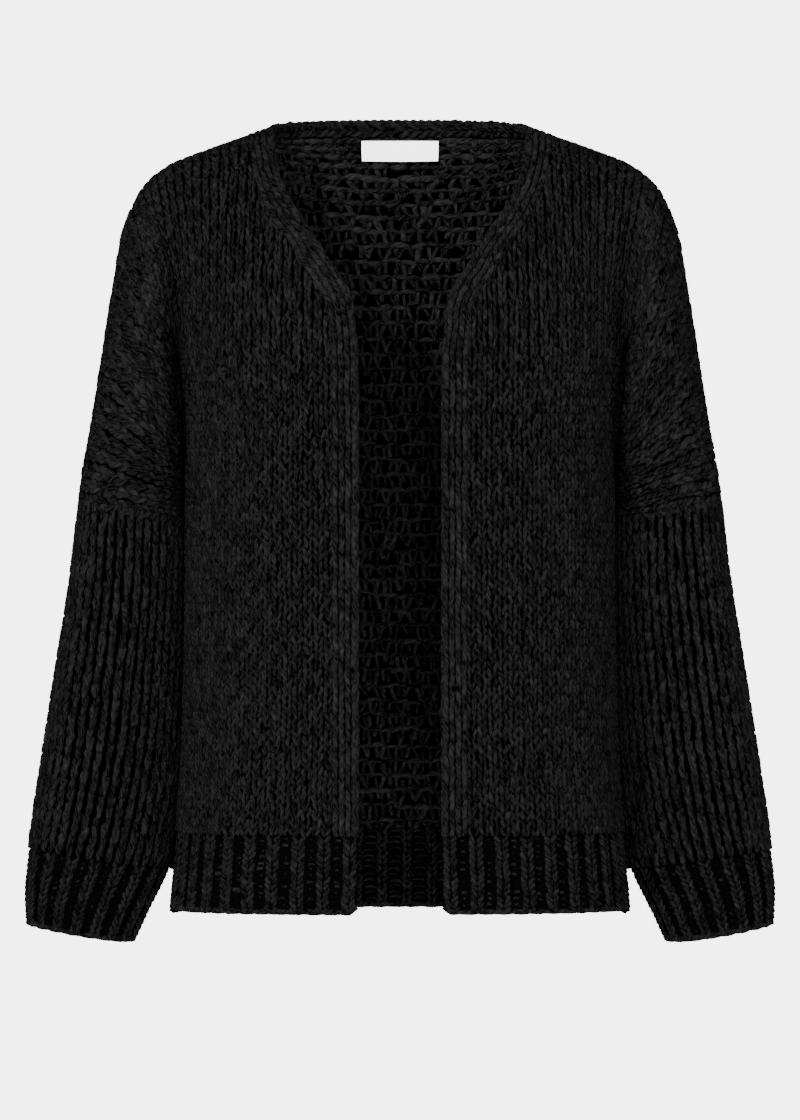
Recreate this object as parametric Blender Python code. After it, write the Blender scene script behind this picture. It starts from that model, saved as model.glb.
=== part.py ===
"""An oversized, open-front, chunky-knit cardigan, filled out as worn on a general figure, with nobody in it.

Metres, +Z up. The front faces -Y and the wearer's left is +X. The origin lies between the two points where
the shoulders meet the neck, where a wearer carries the garment.

Every panel is a wall of knitted cloth. Its outer face is a family of wales, the columns of knitting. A wale
starts on the top line, which runs from the neck along the shoulder and down the outside of the arm. On the
body it arches to the chest line and hangs to the hem. On the arm it goes half round, to the underarm seam.
"""

import bpy
import numpy as np

# Cloth
WALL = 0.007  # thickness of the knitted cloth
SEAM_GAP = 0.0003  # clearance between two pieces that are sewn together
RIB_PITCH = 0.0205  # one knit column and one purl column of the ribbing
RIB_RELIEF = 0.0028  # how far a knit column stands over a purl one

# Heights
CHEST_Z = -0.188  # the armpit, and the line that the shoulder wales reach
HEM_RIB_Z = -0.575  # top of the ribbed hem
FRONT_HEM_Z = -0.637
BACK_HEM_Z = -0.641

# Top line from the neck point to the wale that ends in the armpit
SHOULDER = {
    "x": (0.105, 0.128, 0.160, 0.196, 0.2125),
    "z": (0.003, -0.005, -0.0165, -0.033, -0.049),
}
# The arm from the armpit's wale to the cuff's edge: the top line, the underarm line, half the depth, and how
# far back the underarm is tucked behind the body's side
ARM = {
    "outer_x": (0.2225, 0.2355, 0.2495, 0.2640, 0.2725, 0.2835, 0.2960, 0.3060, 0.3095, 0.3085),
    "outer_z": (-0.070, -0.131, -0.214, -0.303, -0.371, -0.440, -0.520, -0.590, -0.625, -0.652),
    "inner_x": (0.1830, 0.1780, 0.1720, 0.1680, 0.1670, 0.1680, 0.1730, 0.1885, 0.2050, 0.2170),
    "inner_z": (-0.188, -0.237, -0.282, -0.320, -0.389, -0.459, -0.538, -0.607, -0.641, -0.667),
    "middle_y": (0.0, 0.0, 0.010, 0.018, 0.023, 0.025, 0.025, 0.023, 0.021, 0.020),
    "half_depth": (0.078, 0.075, 0.069, 0.062, 0.061, 0.061, 0.060, 0.058, 0.054, 0.050),
    "tuck": (0.0, 0.0, 0.022, 0.034, 0.038, 0.038, 0.034, 0.020, 0.008, 0.0),
}
SLEEVE_STATION = 3  # where the sleeve is sewn to the panels
CUFF_STATION = 7  # top of the cuff's ribbing

# Level rings of the body, from the chest line to the hem
BODY = {
    "z": (-0.188, -0.235, -0.320, -0.430, -0.530, -0.641),
    "half_width": (0.183, 0.1765, 0.1755, 0.1765, 0.180, 0.190),
    "front": (0.138, 0.142, 0.144, 0.143, 0.143, 0.147),
    "back": (0.116, 0.117, 0.116, 0.118, 0.122, 0.130),
}
RING_POWER = 2.5  # of the rings' superellipse: 2 is an ellipse

# Front edge: the V neck, and the straight opening below it
EDGE = {
    "z": (-0.641, -0.300, -0.221, -0.163, -0.133, -0.112, -0.087, -0.0665, -0.0386, -0.015, 0.003),
    "x": (0.0344, 0.0344, 0.0346, 0.0370, 0.0426, 0.0566, 0.0713, 0.0853, 0.0985, 0.1035, 0.105),
}
# Neck band: its lower edge is the back panel's neckline, and its upper edge is the top of the garment
BAND_LOW = {"half_width": 0.117, "depth": 0.063, "z_back": -0.001, "z_end": -0.0012}
BAND_CREST = 0.7  # under 1, the band stays level further round
BAND_TOP = {"half_width": 0.105, "depth": 0.057, "z_back": 0.011, "z_end": 0.003}

# The sleeve lies against the body's side, and is pressed in there
ARM_CLEAR = 0.002  # between the sleeve and the body
ARM_CLEAR_FROM = 0.016  # the clearance opens over this height under the armpit
PRESS_SOFTNESS = 0.004

# How strongly a wale leaves the top line and arrives at the chest line
NECK_REACH = 0.135
CHEST_REACH = 0.225
NAPE_TANGENT = (0.0, 0.040, -0.090)
NECK_SHARE = 0.43  # the share of a panel's half width that lies inside the neck point
ARM_TURN = 0.80  # from this share of the panel's width on, the wales turn in towards the armpit

# Label
LABEL_SIZE = (0.066, 0.0165)
LABEL_TOP_Z = -0.0030
LABEL_THICK = 0.0009
LABEL_CLEAR = 0.0007
LABEL_COLUMNS = 8
LABEL_ROWS = 2

# Faces
NECK_COLUMNS = 6
SHOULDER_COLUMNS = 9
BAND_COLUMNS = 2
ARM_COLUMNS = 6
WALE_ROWS = 12
COLUMN_CROWDING = 1.35  # over 1, the columns stand closer near the armpit
BODY_ROWS = 7
BAND_ROWS = 2
SLEEVE_RINGS = 8
RIB_ROWS = 3
RIB_EDGES = (-0.34, -0.22, 0.22, 0.34)  # foot and crest of a rib's two flanks, in pitches from its middle

COLLECTION = "oversized_cardigan"
STEP = 1e-4  # for derivatives of the surfaces
CURVE_SAMPLES = 91  # where a curve is measured along its length
HALVINGS = 40  # of an interval, to find a place on a surface
SHARP_ANGLE = 40  # degrees

# Finishes: colour, roughness and sheen
YARN = (0.012, 0.012, 0.013), 0.93, 0.2
RIB_YARN = (0.010, 0.010, 0.011), 0.95, 0.2
SATIN = (0.86, 0.86, 0.87), 0.4, 0.0


def through(knots, values, at):
    """A smooth curve through the values: cubic between knots, its slopes from the neighbours."""
    knots, values = np.asarray(knots, float), np.asarray(values, float)
    at = np.clip(at, knots[0], knots[-1])
    slopes = np.gradient(values, knots)
    i = np.clip(np.searchsorted(knots, at) - 1, 0, len(knots) - 2)
    width = knots[i + 1] - knots[i]
    t = (at - knots[i]) / width
    a, b, c, d = hermite(t)
    return a * values[i] + b * values[i + 1] + c * slopes[i] * width + d * slopes[i + 1] * width


def hermite(t):
    """Weights of the start, the end, the start's tangent and the end's tangent."""
    rise = t * t * (3 - 2 * t)
    return 1 - rise, rise, t * (1 - t) ** 2, t * t * (t - 1)


def ease(t):
    t = np.clip(t, 0.0, 1.0)
    return t * t * (3 - 2 * t)


def mix(a, b, share):
    return a + (b - a) * share


def point(x, y, z):
    return np.stack(np.broadcast_arrays(x, y, z), axis=-1)


# The top line, measured by the distance along it
TOP_X = SHOULDER["x"] + ARM["outer_x"]
TOP_Z = SHOULDER["z"] + ARM["outer_z"]
TOP_AT = np.concatenate([[0.0], np.cumsum(np.hypot(np.diff(TOP_X), np.diff(TOP_Z)))])
ARM_AT = TOP_AT[len(SHOULDER["x"]) :]
ARMPIT_AT, SLEEVE_AT, CUFF_AT, END_AT = ARM_AT[[0, SLEEVE_STATION, CUFF_STATION, -1]]


def top_line(distance):
    return through(TOP_AT, TOP_X, distance), through(TOP_AT, TOP_Z, distance)


def halved(short, high=1.0):
    """The value between 0 and high where short(value) turns from true to false."""
    low = 0.0
    for _ in range(HALVINGS):
        middle = (low + high) / 2
        low, high = (middle, high) if short(middle) else (low, middle)
    return high


def top_distance(x):
    """How far along the shoulder the top line is at x."""
    return halved(lambda distance: top_line(distance)[0] < x, ARMPIT_AT)


def arm(distance, turn, side):
    """A point of the arm. turn goes from 0 on the top line to 1 under the arm; side is -1 front, 1 back."""
    x, z = top_line(distance)
    inner_x, inner_z, middle, depth, tuck = (
        through(ARM_AT, ARM[name], distance) for name in ("inner_x", "inner_z", "middle_y", "half_depth", "tuck")
    )
    share = ease(turn)
    y = middle + side * 4 * turn * (1 - turn) * depth + np.maximum(tuck, 0) * share
    x, z = mix(x, inner_x, share), mix(z, inner_z, share)
    opening = np.clip((CHEST_Z - z) / ARM_CLEAR_FROM, 0, 1)
    nearest = body_side(y, z) + ARM_CLEAR * opening
    pressed = (x + nearest + np.hypot(x - nearest, PRESS_SOFTNESS * opening)) / 2
    return point(np.where(z > CHEST_Z, x, pressed), y, z)


def body_side(y, z):
    """How far out the body reaches at a given depth and height, or 0 in front of it and behind it."""
    width = through(BODY["z"][::-1], BODY["half_width"][::-1], z)
    front = through(BODY["z"][::-1], BODY["front"][::-1], z)
    back = through(BODY["z"][::-1], BODY["back"][::-1], z)
    deep = np.clip(np.abs(y) / np.where(y < 0, front, back), 0, 1)
    return width * (1 - deep**RING_POWER) ** (1 / RING_POWER)


def ring(across, z, side):
    """A point of a level ring. across goes by arc length from 0 at the middle to 1 at the side seam."""
    width = through(BODY["z"][::-1], BODY["half_width"][::-1], z)
    depth = through(BODY["z"][::-1], BODY["front" if side < 0 else "back"][::-1], z)
    angles = np.linspace(0, np.pi / 2, CURVE_SAMPLES)
    shape = (np.sin(angles), np.cos(angles))
    across, z, width, depth = np.broadcast_arrays(across, z, width, depth)
    found = np.empty(across.shape + (3,))
    for i in np.ndindex(across.shape):
        reach = ((shape[0] / width[i]) ** RING_POWER + (shape[1] / depth[i]) ** RING_POWER) ** (-1 / RING_POWER)
        x, y = shape[0] * reach, shape[1] * reach
        length = np.concatenate([[0.0], np.cumsum(np.hypot(np.diff(x), np.diff(y)))])
        at = across[i] * length[-1]
        found[i] = np.interp(at, length, x), side * np.interp(at, length, y), z[i]
    return found


def band(turn, up):
    """A point of the neck band. turn goes from 0 at the nape to 1 on the shoulder; up from 0 to 1."""
    width, depth, z_back, z_end = (
        mix(BAND_LOW[name], BAND_TOP[name], up) for name in ("half_width", "depth", "z_back", "z_end")
    )
    angle = turn * np.pi / 2
    return point(width * np.sin(angle), depth * np.cos(angle), mix(z_end, z_back, np.cos(angle) ** BAND_CREST))


def top_share(x):
    """The share of the panel's width whose wale starts at x on the shoulder."""
    return mix(NECK_SHARE, 1.0, top_distance(x) / ARMPIT_AT)


# The shares of a panel's width at which its shoulder starts, for the front (-1) and the back (1)
NECK_SHARES = {-1: top_share(BAND_TOP["half_width"]), 1: top_share(BAND_LOW["half_width"])}


def shoulder_wale(across, down, side):
    """A point of the yoke. across goes from 0 at the middle to 1 at the armpit, down from 0 to 1."""
    across, down = np.broadcast_arrays(across, down)
    neck = NECK_SHARES[side]
    x, z = top_line(np.clip((across - NECK_SHARE) / (1 - NECK_SHARE), 0, 1) * ARMPIT_AT)
    start = point(x, 0.0, z)
    leave = point(0.0, side * mix(NECK_REACH, 4 * ARM["half_depth"][0], ease((across - neck) / (1 - neck))), 0.0)
    inside = (across < neck)[..., None]
    turn = np.clip(across / neck, 0, 1)
    if side < 0:
        start = np.where(inside, point(SHOULDER["x"][0] * turn, 0.0, SHOULDER["z"][0]), start)
    else:
        start = np.where(inside, band(turn, 0.0), start)
        nape = np.cos(turn * np.pi / 2)[..., None]
        leave = np.where(inside, mix(leave, np.array(NAPE_TANGENT), nape), leave)
    end = ring(across, CHEST_Z, side)
    turned = ease((across - ARM_TURN) / (1 - ARM_TURN))[..., None]
    arrive = mix(np.array((0.0, 0.0, -CHEST_REACH)), np.array((0.0, -side * 4 * ARM["half_depth"][0], 0.0)), turned)
    a, b, c, d = (weight[..., None] for weight in hermite(down))
    return a * start + b * end + c * leave + d * arrive


def edge_share(down=None, z=None):
    """The share of the front panel's width where its front edge lies, on a row of the yoke or of the body."""

    def inside_edge(share):
        at = shoulder_wale(share, down, -1) if z is None else ring(share, z, -1)
        return at[0] <= through(EDGE["z"], EDGE["x"], at[2])

    return halved(inside_edge)


def run(points):
    """How far along a line each of its points lies."""
    return np.concatenate([[0.0], np.cumsum(np.linalg.norm(np.diff(points, axis=0), axis=1))])


def grid_faces(columns, rows):
    """Quads of a grid whose points are numbered down each column in turn."""
    return [
        (c * rows + r, c * rows + r + 1, (c + 1) * rows + r + 1, (c + 1) * rows + r)
        for c in range(columns - 1)
        for r in range(rows - 1)
    ]


def mirrored(skin):
    points, faces = skin
    return points * (-1, 1, 1), [face[::-1] for face in faces]


def joined(*skins):
    """Several skins as one, with the points that they share welded."""
    points, faces, seen = [], [], {}
    for skin_points, skin_faces in skins:
        place = []
        for p in skin_points:
            key = tuple(np.round(p, 7) + 0.0)
            if key not in seen:
                seen[key] = len(points)
                points.append(p)
            place.append(seen[key])
        faces += [tuple(place[i] for i in face) for face in skin_faces]
    return np.array(points), faces


def panel(side):
    """The outer skin of a panel's left half: yoke, body and the half of the upper arm."""
    neck = NECK_SHARES[side]
    closer = 1 - np.linspace(1, 0, SHOULDER_COLUMNS + 1) ** COLUMN_CROWDING
    shoulder = mix(NECK_SHARES[1], 1.0, closer)
    if side < 0:
        top_shares = np.concatenate([np.linspace(neck, shoulder[0], BAND_COLUMNS + 1)[:-1], shoulder])
    else:
        top_shares = np.concatenate([np.linspace(0, neck, NECK_COLUMNS + 1)[:-1], shoulder])
    even = np.linspace(0, 1, len(top_shares))
    top_even = (top_shares - top_shares[0]) / (1 - top_shares[0])
    rows = []
    for down in np.linspace(0, 1, WALE_ROWS + 1):
        first = edge_share(down=down) if side < 0 and down > 0 else top_shares[0]
        rows.append(shoulder_wale(first + (1 - first) * mix(top_even, even, ease(down)), down, side))
    for z in np.linspace(CHEST_Z, HEM_RIB_Z, BODY_ROWS + 1)[1:]:
        first = edge_share(z=z) if side < 0 else 0.0
        rows.append(ring(first + (1 - first) * even, z, side))
    body = np.stack(rows, axis=1)
    columns, count = body.shape[:2]
    body_skin = body.reshape(-1, 3), grid_faces(columns, count)
    places = np.linspace(ARMPIT_AT, SLEEVE_AT, ARM_COLUMNS + 1)
    turns = np.linspace(0, 1, WALE_ROWS + 1)
    upper = arm(places[:, None], turns[None, :], side)
    arm_skin = upper.reshape(-1, 3), grid_faces(ARM_COLUMNS + 1, WALE_ROWS + 1)
    skin = joined(body_skin, arm_skin)
    return skin if side < 0 else (skin[0], [face[::-1] for face in skin[1]])


def neck_band():
    turns = np.linspace(0, 1, NECK_COLUMNS + 1)
    ups = np.linspace(0, 1, BAND_ROWS + 1)
    points = band(turns[:, None], ups[None, :])
    half = points.reshape(-1, 3), grid_faces(NECK_COLUMNS + 1, BAND_ROWS + 1)
    return joined(half, mirrored(half))


def arm_ring(distance, turns):
    """A closed ring round the arm: down its front, and up its back."""
    front = arm(distance, turns, -1)
    back = arm(distance, turns, 1)[::-1]
    return np.concatenate([front, back[1:-1]])


def tube_faces(rings, around):
    return [
        (r * around + i, r * around + (i + 1) % around, (r + 1) * around + (i + 1) % around, (r + 1) * around + i)
        for r in range(rings - 1)
        for i in range(around)
    ]


def sleeve():
    turns = np.linspace(0, 1, WALE_ROWS + 1)
    rings = [arm_ring(at, turns) for at in np.linspace(SLEEVE_AT, CUFF_AT, SLEEVE_RINGS + 1)]
    return np.concatenate(rings), tube_faces(SLEEVE_RINGS + 1, 2 * WALE_ROWS)


def shared_normals(skins):
    """Each skin's outward normals. A point that several skins share has one normal in all of them."""
    sums = {}
    for points, faces in skins:
        for face in faces:
            a, b, c, d = points[list(face)]
            across = np.cross(c - a, d - b)
            for i in face:
                key = tuple(np.round(points[i], 7) + 0.0)
                sums[key] = sums.get(key, 0) + across
    found = []
    for points, _ in skins:
        normals = np.array([sums[tuple(np.round(p, 7) + 0.0)] for p in points])
        found.append(normals / np.linalg.norm(normals, axis=1)[:, None])
    return found


# The plane of the shoulder and side seams, and that of the hem rib's top: a point of each and its normal
SEAM_PLANE = np.zeros(3), np.array((0.0, 1.0, 0.0))
HEM_PLANE = np.array((0.0, 0.0, HEM_RIB_Z)), np.array((0.0, 0.0, 1.0))


def arm_plane(distance, side=1):
    """The plane of the arm's ring at a distance along the top line."""
    high, low = arm(distance, 0.0, -1), arm(distance, 1.0, -1)
    normal = np.cross(high - low, (0.0, 1.0, 0.0))
    return high * (side, 1, 1), normal / np.linalg.norm(normal) * (side, 1, 1)


def flattened(points, normals, planes):
    """The normals, with those of the points on a seam's plane turned into that plane."""
    normals = normals.copy()
    for origin, across in planes:
        on = np.abs((points - origin) @ across) < STEP
        normals[on] -= (normals[on] @ across)[:, None] * across
    return normals / np.linalg.norm(normals, axis=1)[:, None]


def rims(faces):
    """The edges that belong to one face only, in that face's direction."""
    edges = [(face[i], face[(i + 1) % 4]) for face in faces for i in range(4)]
    once = set(edges)
    return [edge for edge in edges if edge[::-1] not in once]


def drawn_in(points, faces):
    """How far each rim point moves into its piece, to leave the gap of a seam."""
    edges = {frozenset((face[i], face[(i + 1) % 4])) for face in faces for i in range(4)}
    outline = {frozenset(edge) for edge in rims(faces)}
    on_rim = {i for edge in outline for i in edge}
    pull = np.zeros_like(points)
    for edge in edges - outline:
        a, b = tuple(edge)
        for i, j in ((a, b), (b, a)):
            if i in on_rim:
                along = points[j] - points[i]
                pull[i] += along / np.linalg.norm(along)
    size = np.linalg.norm(pull, axis=1)
    for i in on_rim:
        if size[i] < STEP:  # a corner of one face only: it moves towards that face's middle
            face = next(f for f in faces if i in f)
            pull[i] = points[list(face)].mean(axis=0) - points[i]
            size[i] = np.linalg.norm(pull[i])
            pull[i] *= np.sqrt(2)
    moved = size > 0
    pull[moved] *= (SEAM_GAP / 2 / size[moved])[:, None]
    return pull


def walled(points, faces, outward, thickness=WALL):
    """A closed wall on an outer skin: the skin, its copy one thickness in, and the rims between them."""
    count = len(points)
    solid = [tuple(face) for face in faces]
    solid += [tuple(i + count for i in face[::-1]) for face in faces]
    for a, b in rims(faces):
        # Cut the same way on both sides of a seam, and on left and right.
        if tuple(np.round(np.abs(points[a]), 6)) < tuple(np.round(np.abs(points[b]), 6)):
            solid += [(b, a, b + count), (a, a + count, b + count)]
        else:
            solid += [(b, a, a + count), (b, a + count, b + count)]
    return np.concatenate([points, points - outward * thickness]), solid


def rib_places(share_low, share_high, length):
    """Where a ribbed strip's points lie across it, and how far each stands in from the crests."""
    ribs = max(1, round(length / RIB_PITCH))
    places, depths = [share_low], [RIB_RELIEF]
    for rib in range(ribs):
        for offset, depth in zip(RIB_EDGES, (RIB_RELIEF, 0, 0, RIB_RELIEF)):
            places.append(mix(share_low, share_high, (rib + 0.5 + offset) / ribs))
            depths.append(depth)
    return np.array(places + [share_high]), np.array(depths + [RIB_RELIEF])


def hem(side, first, last, bottom):
    """A ribbed strip of the hem, from one share of the half ring to another; below 0 it is on the right."""
    length = run(ring(np.linspace(0, 1, CURVE_SAMPLES), HEM_RIB_Z, side))[-1]
    shares, depths = rib_places(first, last, length * (last - first))
    signs = np.where(shares < 0, -1, 1)
    flip = point(signs, 1, 1)
    columns = []
    for z in np.linspace(HEM_RIB_Z, bottom, RIB_ROWS + 1):
        columns.append(ring(np.abs(shares), z, side) * flip)
    grid = np.stack(columns, axis=1)
    along = np.gradient(grid, axis=0)
    outward = np.cross(along, (0, 0, -1.0)) * side
    outward[..., 2] = 0
    points = grid.reshape(-1, 3)
    outward = flattened(points, outward.reshape(-1, 3), [SEAM_PLANE])
    faces = grid_faces(*grid.shape[:2])
    if side > 0:
        faces = [face[::-1] for face in faces]
    return ribbed(points, faces, outward, np.repeat(depths, RIB_ROWS + 1))


def cuff():
    """The ribbed cuff's tube."""
    turns = np.linspace(0, 1, CURVE_SAMPLES)
    steps = run(arm(CUFF_AT, turns, -1))
    places, depths = rib_places(0, 1, 2 * steps[-1])
    places, depths = places[:-1], depths[:-1]
    half = np.minimum(places, 1 - places) * 2
    turn = np.interp(half * steps[-1], steps, turns)
    rings, outward = [], []
    for at in np.linspace(CUFF_AT, END_AT, RIB_ROWS + 1):
        loop = np.where((places <= 0.5)[:, None], arm(at, turn, -1), arm(at, turn, 1))
        along = np.roll(loop, -1, axis=0) - np.roll(loop, 1, axis=0)
        out = np.cross(along, arm_plane(at)[1])
        out *= np.sign((out * (loop - loop.mean(axis=0))).sum())
        rings.append(loop)
        outward.append(out / np.linalg.norm(out, axis=1)[:, None])
    faces = tube_faces(RIB_ROWS + 1, len(places))
    return ribbed(np.concatenate(rings), faces, np.concatenate(outward), np.tile(depths, RIB_ROWS + 1))


def ribbed(points, faces, outward, depths):
    """A wall whose inside is plain and whose outer points stand back between the ribs."""
    count = len(points)
    pull = drawn_in(points, faces)
    solid_points, solid_faces = walled(points, faces, outward)
    solid_points[:count] += pull - outward * depths[:, None]
    solid_points[count:] += pull
    return solid_points, solid_faces


def label():
    """A bare strip on the inside of the back, under the neck band, made from the back panel's points."""
    width, height = LABEL_SIZE
    turns = np.arcsin(np.linspace(-width / 2, width / 2, LABEL_COLUMNS + 1) / BAND_LOW["half_width"]) * 2 / np.pi
    shares = np.abs(turns) * NECK_SHARES[1]
    signs = np.where(turns < 0, -1, 1)[:, None]
    downs = np.array([nape_place(LABEL_TOP_Z - height * row / LABEL_ROWS) for row in range(LABEL_ROWS + 1)])
    shares, downs = np.meshgrid(shares, downs, indexing="ij")
    grid = shoulder_wale(shares, downs, 1)
    across = shoulder_wale(shares + STEP, downs, 1) - grid
    along = shoulder_wale(shares, downs + STEP, 1) - grid
    outward = np.cross(along, across)
    outward *= np.sign(outward[..., 1:2]) / np.linalg.norm(outward, axis=2)[..., None]
    flip = point(signs, 1.0, 1.0)
    points, out = (grid * flip).reshape(-1, 3), (outward * flip).reshape(-1, 3)
    faces = [face[::-1] for face in grid_faces(LABEL_COLUMNS + 1, LABEL_ROWS + 1)]
    return walled(points - out * (WALL + LABEL_CLEAR), faces, out, LABEL_THICK)


def nape_place(z):
    """How far down the middle of the back the panel reaches a height, as a share of the yoke's wale."""
    return halved(lambda down: shoulder_wale(0.0, down, 1)[2] > z)


def material(name, finish):
    colour, roughness, sheen = finish
    found = bpy.data.materials.new(name)
    found.use_nodes = True
    shader = found.node_tree.nodes["Principled BSDF"]
    shader.inputs["Base Color"].default_value = (*colour, 1.0)
    shader.inputs["Roughness"].default_value = roughness
    shader.inputs["Metallic"].default_value = 0.0
    shader.inputs["Sheen Weight"].default_value = sheen
    found.diffuse_color = (*colour, 1.0)
    return found


def add(name, solid, finish, collection):
    """One named piece, from its points and faces, with a material of its own."""
    points, faces = solid
    mesh = bpy.data.meshes.new(name)
    mesh.from_pydata([tuple(p) for p in points], [], faces)
    mesh.update()
    mesh.materials.append(material(name, finish))
    mesh.shade_smooth()
    mesh.set_sharp_from_angle(angle=np.radians(SHARP_ANGLE))
    piece = bpy.data.objects.new(name, mesh)
    collection.objects.link(piece)
    return piece


def main():
    for old in list(bpy.data.objects):
        bpy.data.objects.remove(old, do_unlink=True)
    collection = bpy.data.collections.new(COLLECTION)
    bpy.context.scene.collection.children.link(collection)
    front, back_half, tube = panel(-1), panel(1), sleeve()
    skins = {
        "front_left": front,
        "front_right": mirrored(front),
        "back": joined(back_half, mirrored(back_half)),
        "neck_band": neck_band(),
        "sleeve_left": tube,
        "sleeve_right": mirrored(tube),
    }
    normals = dict(zip(skins, shared_normals(list(skins.values()))))
    planes = [SEAM_PLANE, HEM_PLANE]
    for side in (1, -1):
        planes += [arm_plane(SLEEVE_AT, side), arm_plane(CUFF_AT, side)]
    for name, (points, faces) in skins.items():
        solid_points, solid_faces = walled(points, faces, flattened(points, normals[name], planes))
        pull = np.tile(drawn_in(points, faces), (2, 1))
        add(name, (solid_points + pull, solid_faces), YARN, collection)

    edge = edge_share(z=HEM_RIB_Z)
    front_hem = hem(-1, edge, 1.0, FRONT_HEM_Z)
    ribs = {
        "hem_front_left": front_hem,
        "hem_front_right": mirrored(front_hem),
        "hem_back": hem(1, -1.0, 1.0, BACK_HEM_Z),
        "cuff_left": cuff(),
        "cuff_right": mirrored(cuff()),
    }
    for name, solid in ribs.items():
        add(name, solid, RIB_YARN, collection)
    add("label", label(), SATIN, collection)


main()
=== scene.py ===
# %% [markdown]
# # An oversized cardigan, knitted loop by loop
#
# A chunky cardigan is thick yarn in loops, and little else. The CAD model gives its pieces as plain
# walls of cloth. Here each piece becomes a thin backing cloth with the yarn of its stitches on it,
# in the frame of the CAD model: metres, +Z up, the front towards -Y, and the origin between the
# shoulders at the neck.

import bpy
import numpy as np
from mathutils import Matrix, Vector


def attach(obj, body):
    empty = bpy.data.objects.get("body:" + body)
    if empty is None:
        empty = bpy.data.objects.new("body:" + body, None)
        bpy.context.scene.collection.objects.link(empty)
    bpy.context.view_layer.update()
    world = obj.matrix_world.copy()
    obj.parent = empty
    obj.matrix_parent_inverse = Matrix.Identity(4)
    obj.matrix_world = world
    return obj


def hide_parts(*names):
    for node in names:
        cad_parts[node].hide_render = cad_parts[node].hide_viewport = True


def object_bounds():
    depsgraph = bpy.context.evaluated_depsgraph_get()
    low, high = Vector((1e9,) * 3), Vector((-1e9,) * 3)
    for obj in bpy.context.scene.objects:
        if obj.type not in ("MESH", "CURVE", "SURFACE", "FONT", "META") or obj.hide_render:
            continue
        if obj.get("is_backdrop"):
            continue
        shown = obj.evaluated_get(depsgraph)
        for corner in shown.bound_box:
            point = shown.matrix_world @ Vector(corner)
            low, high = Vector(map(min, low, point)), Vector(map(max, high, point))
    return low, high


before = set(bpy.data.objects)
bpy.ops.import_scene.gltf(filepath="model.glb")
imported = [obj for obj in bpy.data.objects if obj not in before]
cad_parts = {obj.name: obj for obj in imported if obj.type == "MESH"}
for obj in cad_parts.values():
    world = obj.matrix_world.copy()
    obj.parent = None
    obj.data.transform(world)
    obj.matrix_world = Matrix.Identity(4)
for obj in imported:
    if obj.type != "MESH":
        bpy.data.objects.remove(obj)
cad_size = [list(corner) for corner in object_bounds()]
random = np.random.default_rng(8)
print("CAD nodes:", ", ".join(sorted(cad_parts)))

# %% [markdown]
# ## The sizes of the cloth
#
# A cardigan that is filled out has the shape of its cut over a body. These numbers are those of the
# CAD source, so that the knitting lies on the solids' outer faces. The shoulder and the outside of
# the arm make one top line. The inside of the arm, the body's rings and the front edge are rows of
# knots too, and a smooth curve runs through each row.

# %% Sizes
RIB_PITCH = 0.0205
RIB_RELIEF = 0.0028
CHEST_Z, HEM_RIB_Z, FRONT_HEM_Z, BACK_HEM_Z = -0.188, -0.575, -0.637, -0.641
SHOULDER = {
    "x": (0.105, 0.128, 0.160, 0.196, 0.2125),
    "z": (0.003, -0.005, -0.0165, -0.033, -0.049),
}
ARM = {
    "outer_x": (0.2225, 0.2355, 0.2495, 0.2640, 0.2725, 0.2835, 0.2960, 0.3060, 0.3095, 0.3085),
    "outer_z": (-0.070, -0.131, -0.214, -0.303, -0.371, -0.440, -0.520, -0.590, -0.625, -0.652),
    "inner_x": (0.1830, 0.1780, 0.1720, 0.1680, 0.1670, 0.1680, 0.1730, 0.1885, 0.2050, 0.2170),
    "inner_z": (-0.188, -0.237, -0.282, -0.320, -0.389, -0.459, -0.538, -0.607, -0.641, -0.667),
    "middle_y": (0.0, 0.0, 0.010, 0.018, 0.023, 0.025, 0.025, 0.023, 0.021, 0.020),
    "half_depth": (0.078, 0.075, 0.069, 0.062, 0.061, 0.061, 0.060, 0.058, 0.054, 0.050),
    "tuck": (0.0, 0.0, 0.022, 0.034, 0.038, 0.038, 0.034, 0.020, 0.008, 0.0),
}
SLEEVE_STATION, CUFF_STATION = 3, 7
BODY = {
    "z": (-0.188, -0.235, -0.320, -0.430, -0.530, -0.641),
    "half_width": (0.183, 0.1765, 0.1755, 0.1765, 0.180, 0.190),
    "front": (0.138, 0.142, 0.144, 0.143, 0.143, 0.147),
    "back": (0.116, 0.117, 0.116, 0.118, 0.122, 0.130),
}
RING_POWER = 2.5  # 2 would make the body's rings ellipses
RING_ANGLES = np.linspace(0, np.pi / 2, 91)
EDGE = {
    "z": (-0.641, -0.300, -0.221, -0.163, -0.133, -0.112, -0.087, -0.0665, -0.0386, -0.015, 0.003),
    "x": (0.0344, 0.0344, 0.0346, 0.0370, 0.0426, 0.0566, 0.0713, 0.0853, 0.0985, 0.1035, 0.105),
}
BAND_LOW = {"half_width": 0.117, "depth": 0.063, "z_back": -0.001, "z_end": -0.0012}
BAND_TOP = {"half_width": 0.105, "depth": 0.057, "z_back": 0.011, "z_end": 0.003}
BAND_CREST = 0.7
ARM_CLEAR, ARM_CLEAR_FROM, PRESS_SOFTNESS = 0.002, 0.016, 0.004
NECK_REACH, CHEST_REACH, NAPE_TANGENT = 0.135, 0.225, (0.0, 0.040, -0.090)
NECK_SHARE, ARM_TURN = 0.43, 0.80
LABEL_SIZE = 0.066, 0.0165

# %% [markdown]
# ## Curves
#
# Blender's own curves give points at even parameters. Cloth needs the point at a given distance,
# and needs many at once, so a few small functions on arrays do it: a cubic through knots, and
# Hermite weights for a line that leaves one place in a given direction and arrives at another.


# %% Curves
def hermite(t):
    """Weights of the start, the end, the start's tangent and the end's tangent."""
    rise = t * t * (3 - 2 * t)
    return 1 - rise, rise, t * (1 - t) ** 2, t * t * (t - 1)


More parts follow.
